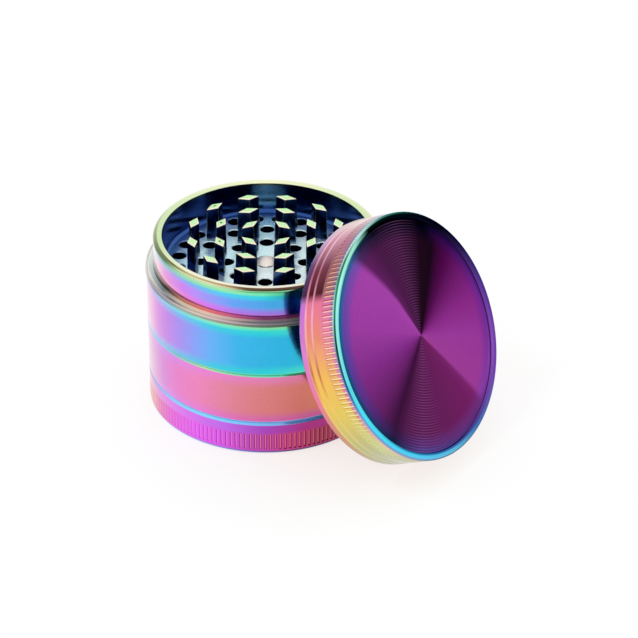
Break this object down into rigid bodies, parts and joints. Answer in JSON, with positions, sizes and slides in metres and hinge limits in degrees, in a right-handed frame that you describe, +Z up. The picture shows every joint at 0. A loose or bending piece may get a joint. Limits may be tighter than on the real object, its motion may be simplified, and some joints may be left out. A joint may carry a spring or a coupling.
{
  "type": "four-piece hand grinder",
  "caption": "Round metal hand grinder with a knurled lid leaning on the open tooth chamber, a screened collection chamber and a base cup.",
  "frame": {"origin": "centre of the base cup's flat bottom, on the axis of the stacked body", "axes": "+Z up along the axis of the stacked body, -Y towards the front, the lid leans at the front right"},
  "size_m": [0.0737, 0.0686, 0.0494],
  "materials": {
    "base_coat": "polished die-cast metal with an iridescent coat, peach to magenta, purple and crimson",
    "collection_coat": "polished die-cast metal with an iridescent coat, orchid pink to salmon",
    "chamber_coat": "polished die-cast metal with an iridescent coat, pale violet to cyan, dark blue inside",
    "lid_coat": "turned and polished die-cast metal with an iridescent coat, purple face and warm pink to yellow side",
    "plain_steel": "plain satin steel",
    "screen_wire": "fine woven steel wire",
    "magnet": "satin plated disc magnet",
    "glide_plastic": "translucent off-white plastic"
  },
  "bodies": {
    "base": {"base_cup": "base_coat"},
    "screen_holder": {"screen": "screen_wire", "screen_ring": "plain_steel"},
    "collection": {"collection_chamber": "collection_coat"},
    "floor_magnet": {"chamber_magnet": "magnet"},
    "tooth_stage": {"tooth_chamber": "chamber_coat", "glide_ring": "glide_plastic"},
    "lid_carrier": {"lid_magnet": "magnet"},
    "lid": {"lid": "lid_coat"}
  },
  "joints": [
    {"name": "collection_rise", "type": "slide", "parent": "base", "child": "screen_holder", "axis": [0, 0, 1], "range_m": [0, 0.00125]},
    {"name": "collection_unscrew", "type": "hinge", "parent": "screen_holder", "child": "collection", "pos_m": [0, 0, 0], "axis": [0, 0, 1], "range_deg": [0, 450]},
    {"name": "chamber_rise", "type": "slide", "parent": "collection", "child": "floor_magnet", "axis": [0, 0, 1], "range_m": [0, 0.00125]},
    {"name": "chamber_unscrew", "type": "hinge", "parent": "floor_magnet", "child": "tooth_stage", "pos_m": [0, 0, 0], "axis": [0, 0, 1], "range_deg": [0, 450]},
    {"name": "lid_lift", "type": "slide", "parent": "base", "child": "lid_carrier", "axis": [0.7354, -0.5017, 0.4555], "range_m": [0, 0.05]},
    {"name": "lid_turn", "type": "hinge", "parent": "lid_carrier", "child": "lid", "pos_m": [0.02421, -0.01651, 0.02247], "axis": [0.7354, -0.5017, 0.4555], "continuous": true}
  ],
  "couplings": [
    {"joint": "collection_unscrew", "follows": "collection_rise", "rad_per_m": 6283.2},
    {"joint": "chamber_unscrew", "follows": "chamber_rise", "rad_per_m": 6283.2}
  ]
}
